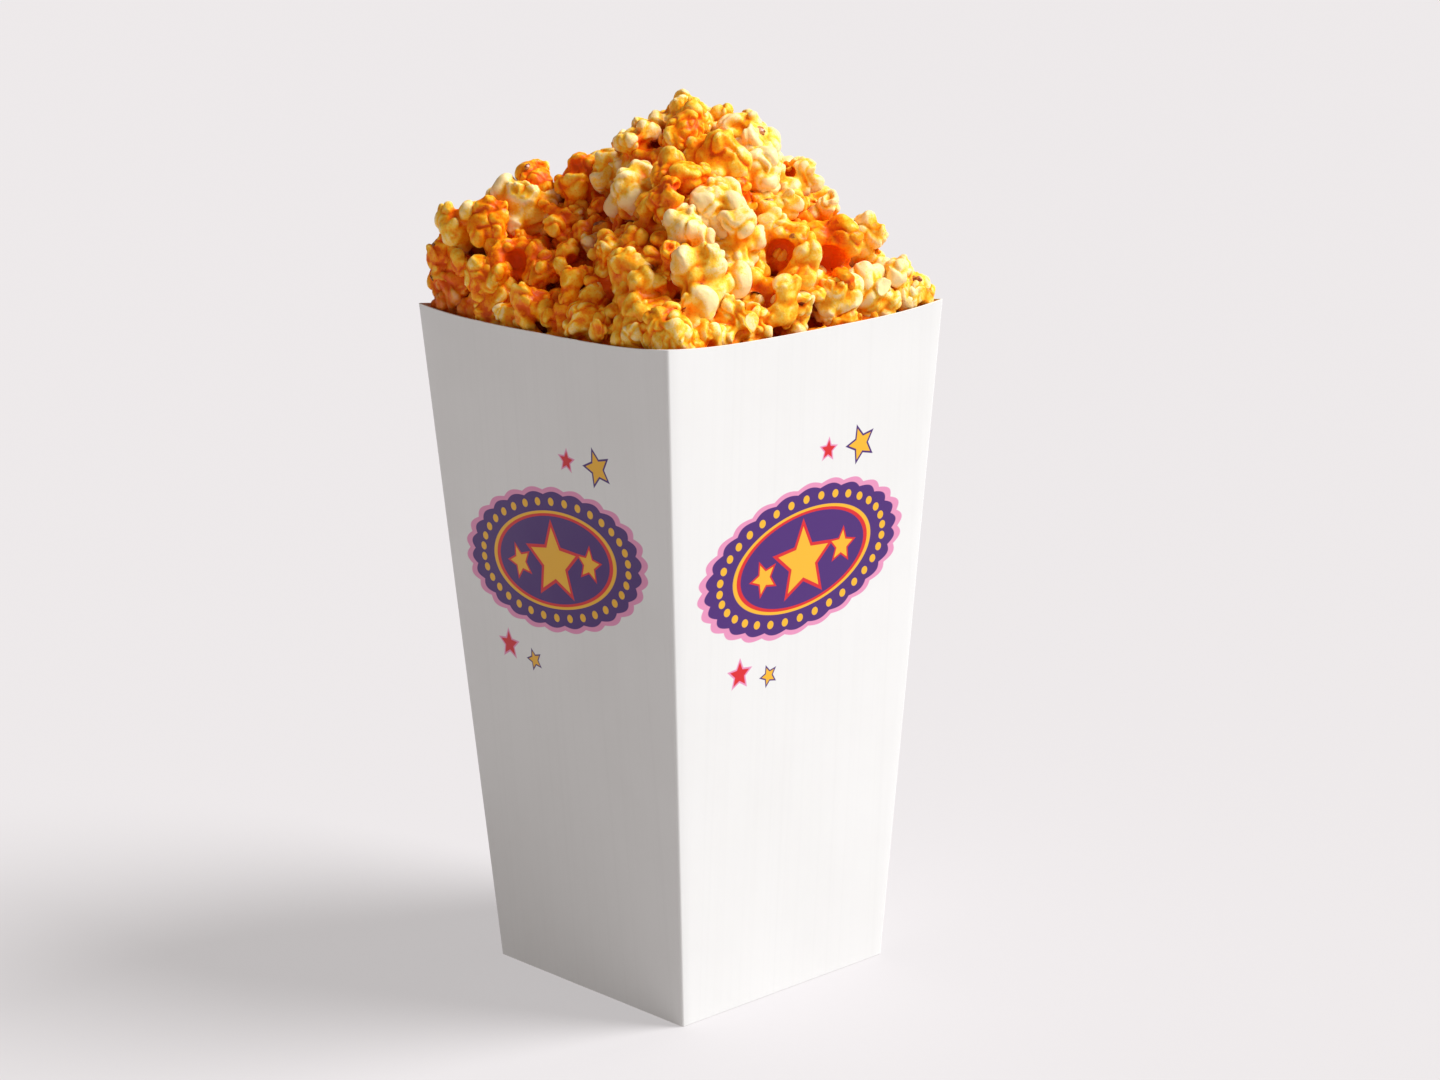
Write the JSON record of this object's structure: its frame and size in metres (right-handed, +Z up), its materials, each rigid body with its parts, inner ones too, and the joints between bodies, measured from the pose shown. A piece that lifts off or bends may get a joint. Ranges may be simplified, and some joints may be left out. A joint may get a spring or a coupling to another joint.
{
  "type": "bucket of popcorn",
  "caption": "Tall square tapered card bucket of white board, filled with cheese popcorn heaped high above its rim.",
  "frame": {"origin": "on the surface that the bucket stands on, under the middle of its base", "axes": "+Z up; the four walls face -X, +X, -Y and +Y, and the corner between -X and -Y is the one towards the viewer"},
  "size_m": [0.13, 0.13, 0.3135],
  "materials": {
    "board": "white coated board with a low sheen and coloured print, rough white cut edges",
    "popcorn": "popped corn with a powdery orange and yellow cheese coating, cream where it is thin"
  },
  "bodies": {
    "root": {"bucket": "board", "popcorn": "popcorn"}
  },
  "joints": []
}
